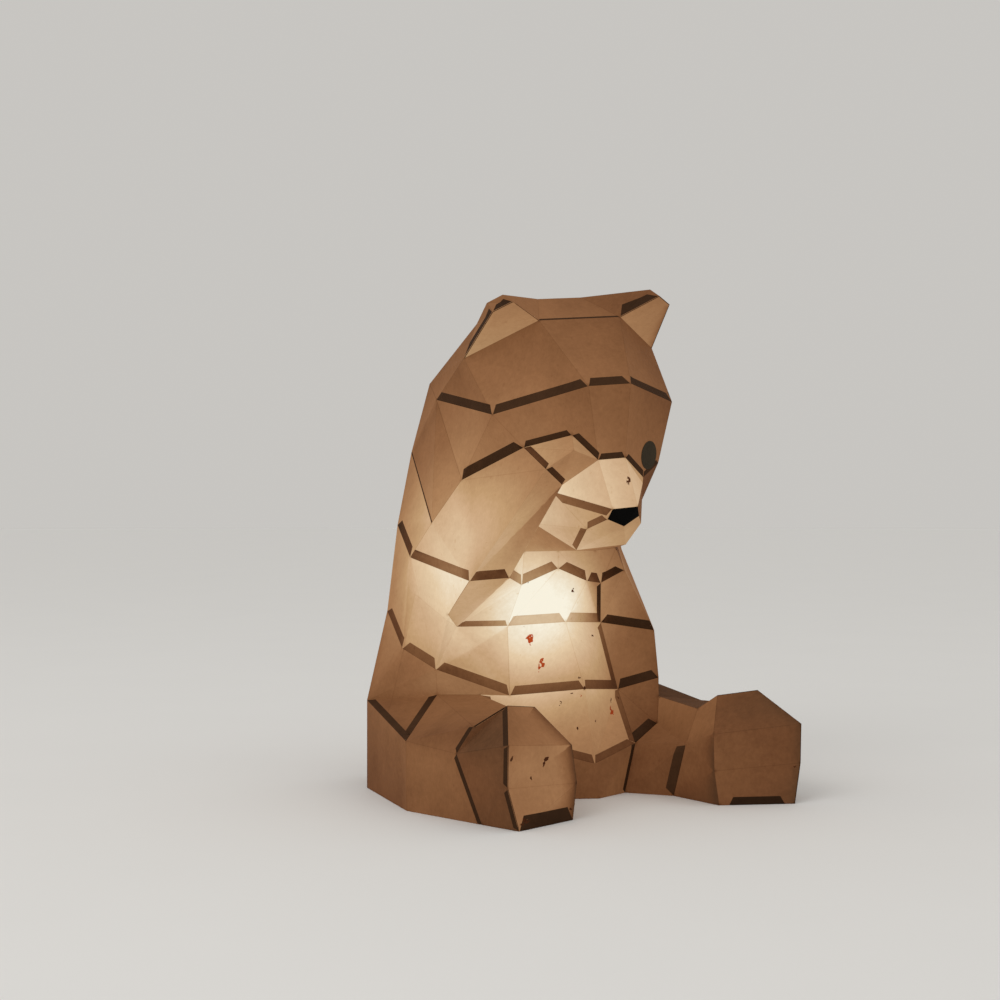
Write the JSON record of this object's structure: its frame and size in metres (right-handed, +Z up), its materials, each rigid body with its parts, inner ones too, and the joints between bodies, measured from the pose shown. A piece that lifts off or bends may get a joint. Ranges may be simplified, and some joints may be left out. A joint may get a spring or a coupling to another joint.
{
  "type": "night light",
  "caption": "Seated bear night light folded from translucent paper panels, one paw over its eye, standing over a weighted stand with a globe bulb.",
  "frame": {"origin": "middle of the stand's underside, on the floor", "axes": "+Z up, the bear faces -Y, its left side is +X"},
  "size_m": [0.328, 0.298, 0.4236],
  "materials": {
    "paper": "matte brown card, glows tan to cream when lit",
    "nose_paper": "matte black paper",
    "eye_paper": "matte dark brown paper",
    "foam": "matte closed-cell foam",
    "zinc": "zinc plated",
    "painted_steel": "satin off-white paint",
    "iron": "rough cast",
    "black_plastic": "matte",
    "white_plastic": "gloss",
    "porcelain": "glazed",
    "brass": "stamped",
    "nickel": "nickel plated",
    "board": "white solder mask",
    "opal": "opal diffuser"
  },
  "bodies": {
    "stand": {"base_pad": "foam", "base_plate": "zinc", "base_screws": "zinc", "base_cup": "painted_steel", "ballast": "iron", "cord_bush": "black_plastic", "stem_tube": "zinc", "stem_nuts": "zinc", "holder_cap": "black_plastic", "holder_shell": "black_plastic", "holder_core": "porcelain", "screw_shell": "brass", "centre_contact": "brass", "switch_frame": "black_plastic"},
    "shade": {"back_upper": "paper", "belly_lower": "paper", "belly_middle": "paper", "belly_upper": "paper", "chin": "paper", "crotch": "paper", "crown": "paper", "face": "paper", "forehead": "paper", "head_back": "paper", "left_ear_front": "paper", "left_eye": "eye_paper", "left_foot_inner": "paper", "left_foot_outer": "paper", "left_forearm": "paper", "left_leg": "paper", "left_leg_inner": "paper", "left_muzzle_side": "paper", "left_paw": "paper", "left_sole": "paper", "left_upper_arm": "paper", "muzzle_top": "paper", "nape": "paper", "neck": "paper", "neck_left": "paper", "neck_right": "paper", "nose": "nose_paper", "right_ear_front": "paper", "right_foot_inner": "paper", "right_foot_outer": "paper", "right_forearm": "paper", "right_leg": "paper", "right_leg_inner": "paper", "right_muzzle_side": "paper", "right_paw": "paper", "right_sole": "paper", "right_upper_arm": "paper", "rump": "paper", "throat": "paper", "waist": "paper"},
    "bulb": {"bulb_tip": "brass", "bulb_cap": "nickel", "bulb_housing": "white_plastic", "led_board": "board", "bulb_globe": "opal"},
    "rocker": {"switch_rocker": "black_plastic"}
  },
  "joints": [
    {"name": "shade_lift", "type": "slide", "parent": "stand", "child": "shade", "axis": [0, 0, 1], "range_m": [0, 0.26]},
    {"name": "bulb_turn", "type": "hinge", "parent": "stand", "child": "bulb", "pos_m": [0, 0, 0.12], "axis": [0, 0, 1], "range_deg": [0, 720]},
    {"name": "rocker_tilt", "type": "hinge", "parent": "stand", "child": "rocker", "pos_m": [0, 0.04, 0.0197], "axis": [0, 1, 0], "range_deg": [-9, 9]}
  ]
}
